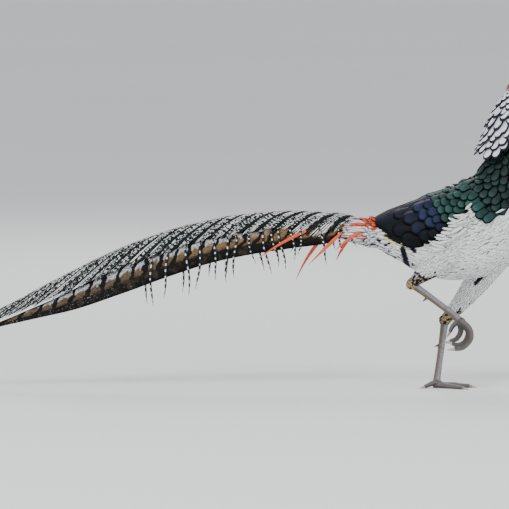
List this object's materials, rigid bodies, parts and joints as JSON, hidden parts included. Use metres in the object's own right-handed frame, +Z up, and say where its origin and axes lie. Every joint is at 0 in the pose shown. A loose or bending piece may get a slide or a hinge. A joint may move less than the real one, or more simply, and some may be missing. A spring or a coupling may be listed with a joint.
{
  "type": "lady amherst's pheasant",
  "caption": "Life-size model of a cock Lady Amherst's pheasant walking, one foot lifted, with scalloped white cape, red crest, scaled green back and long barred tail.",
  "frame": {"origin": "underside of the standing left foot's pad, where it rests on the ground", "axes": "+X towards the bill, +Y to the bird's left, +Z up"},
  "size_m": [0.921, 0.1174, 0.452],
  "materials": {
    "green_plumage": "glossy dark green feathers",
    "belly_plumage": "soft white feathers",
    "wing_plumage": "glossy dark blue feathers",
    "cape_plumage": "white feathers edged black",
    "crest_plumage": "glossy red feathers",
    "tail_plumage": "barred and mottled feathers",
    "rump_plumage": "yellow and orange-red feathers",
    "leg_scales": "satin scales",
    "horn": "satin horn",
    "eye": "wet gloss"
  },
  "bodies": {
    "root": {"bill_lower": "horn", "bill_upper": "horn", "cape": "cape_plumage", "claw_left_1": "horn", "claw_left_2": "horn", "claw_left_3": "horn", "claw_left_4": "horn", "claw_right_1": "horn", "claw_right_2": "horn", "claw_right_3": "horn", "claw_right_4": "horn", "crest": "crest_plumage", "eye_left": "eye", "eye_right": "eye", "foot_left": "leg_scales", "foot_right": "leg_scales", "head": "green_plumage", "neck": "green_plumage", "rump": "rump_plumage", "shank_left": "leg_scales", "shank_right": "leg_scales", "tail": "tail_plumage", "thigh_left": "belly_plumage", "thigh_right": "belly_plumage", "torso": "green_plumage", "wing_left": "wing_plumage", "wing_right": "wing_plumage"}
  },
  "joints": []
}
